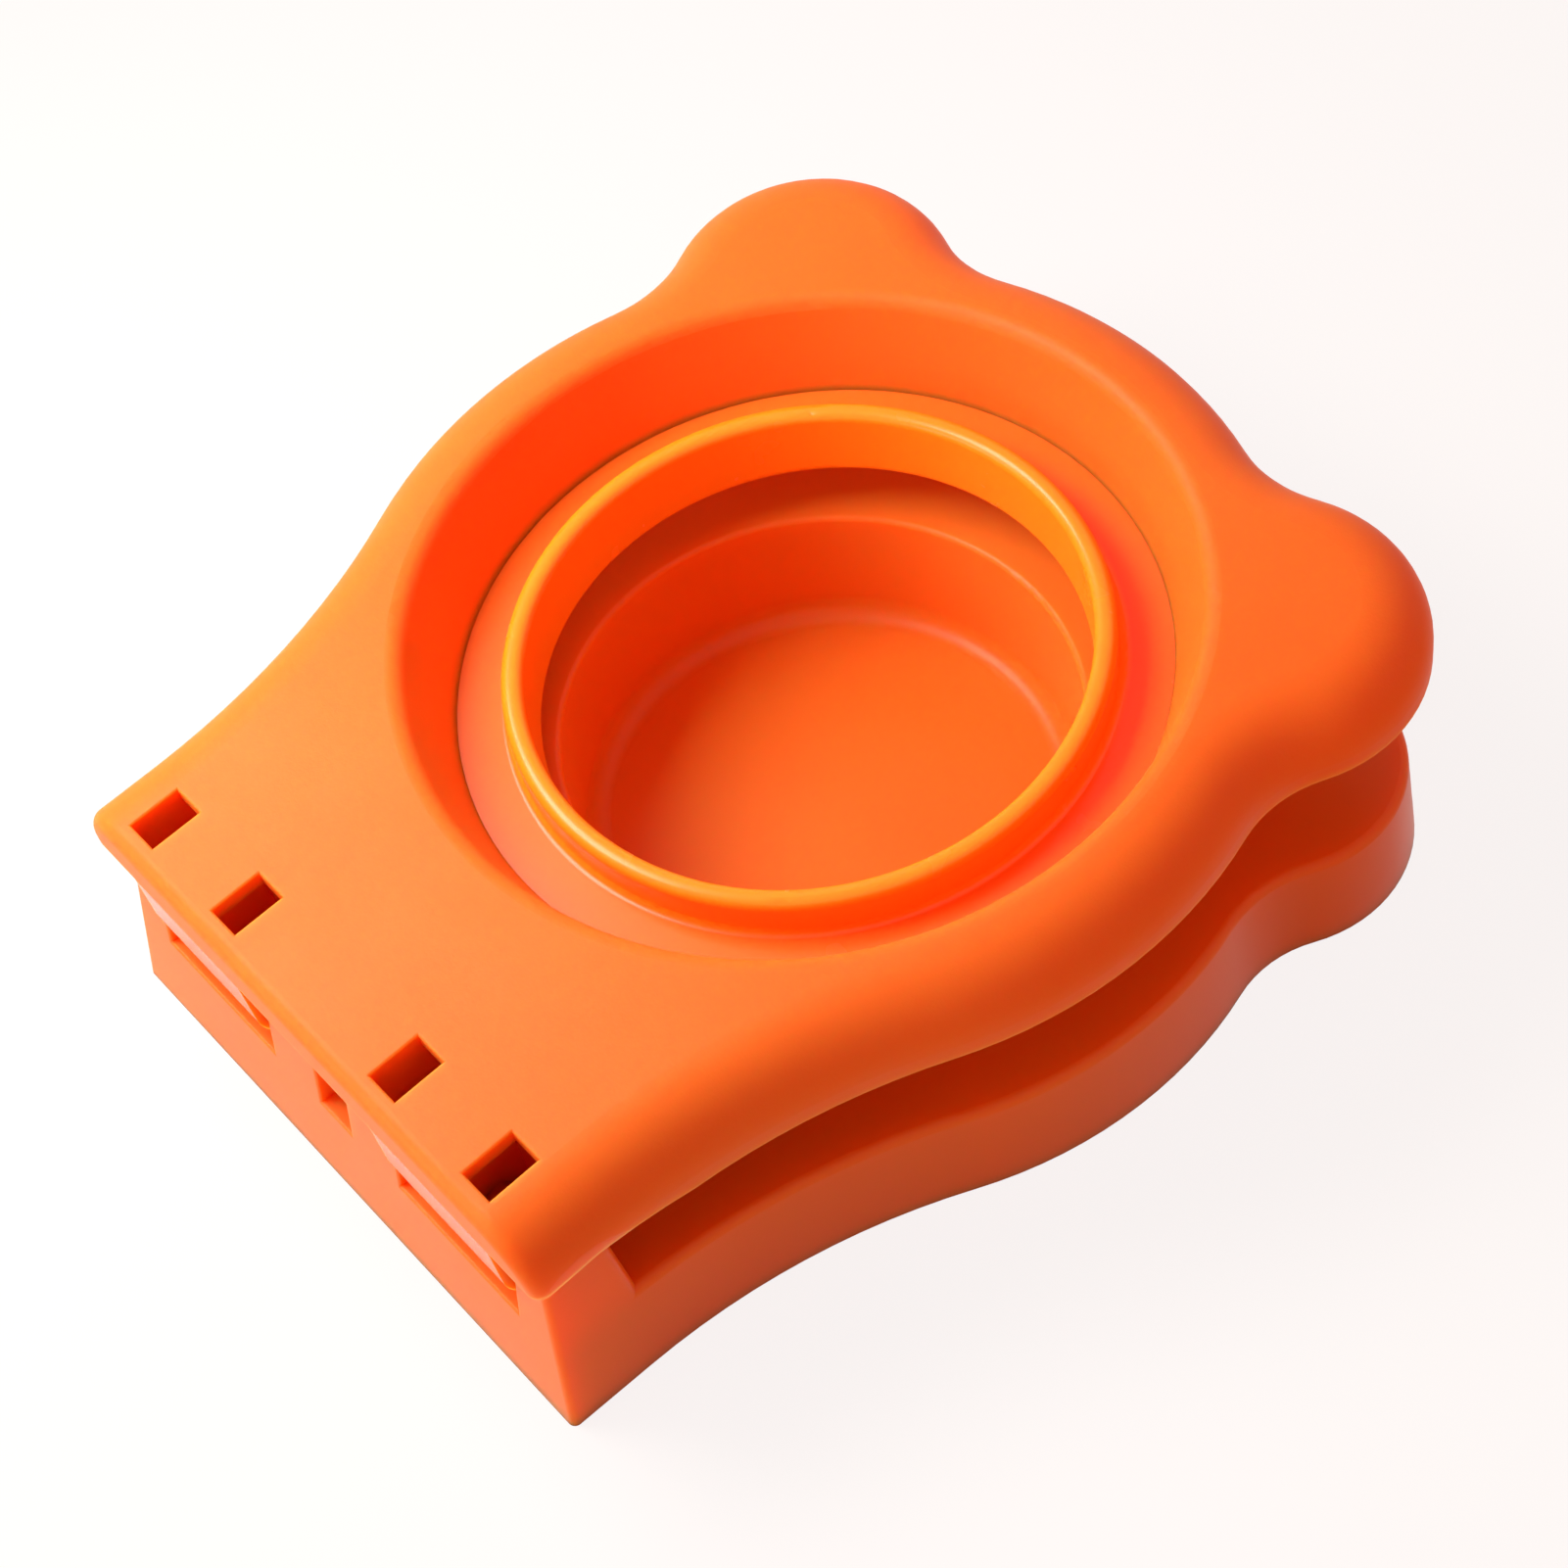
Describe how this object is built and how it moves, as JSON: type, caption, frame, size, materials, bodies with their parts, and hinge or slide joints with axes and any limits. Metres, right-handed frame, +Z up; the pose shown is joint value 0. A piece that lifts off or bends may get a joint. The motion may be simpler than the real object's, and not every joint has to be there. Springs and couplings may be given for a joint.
{
  "type": "sandwich cutter and sealer",
  "caption": "Hinged hand press with a bear-head outline: a round cutting and sealing ring in the lid comes down on a raised anvil around a filling well in the base.",
  "frame": {"origin": "on the underside of the base, on the axis of the round cutter", "axes": "+X along the hinge, +Y from the hinge to the ears, +Z up"},
  "size_m": [0.1234, 0.1429, 0.0485],
  "materials": {
    "base_plastic": "satin moulded polypropylene, orange",
    "lid_plastic": "fine satin moulded polypropylene, orange",
    "ring_plastic": "glossy moulded polypropylene, orange",
    "pin_plastic": "smooth turned acetal, orange"
  },
  "bodies": {
    "base": {"base": "base_plastic", "hinge_pin_left": "pin_plastic", "hinge_pin_right": "pin_plastic"},
    "lid": {"lid": "lid_plastic", "cutter_ring": "ring_plastic"}
  },
  "joints": [
    {"name": "lid_hinge", "type": "hinge", "parent": "base", "child": "lid", "pos_m": [0, -0.07385, 0.0224], "axis": [1, 0, 0], "range_deg": [-4, 86]}
  ]
}
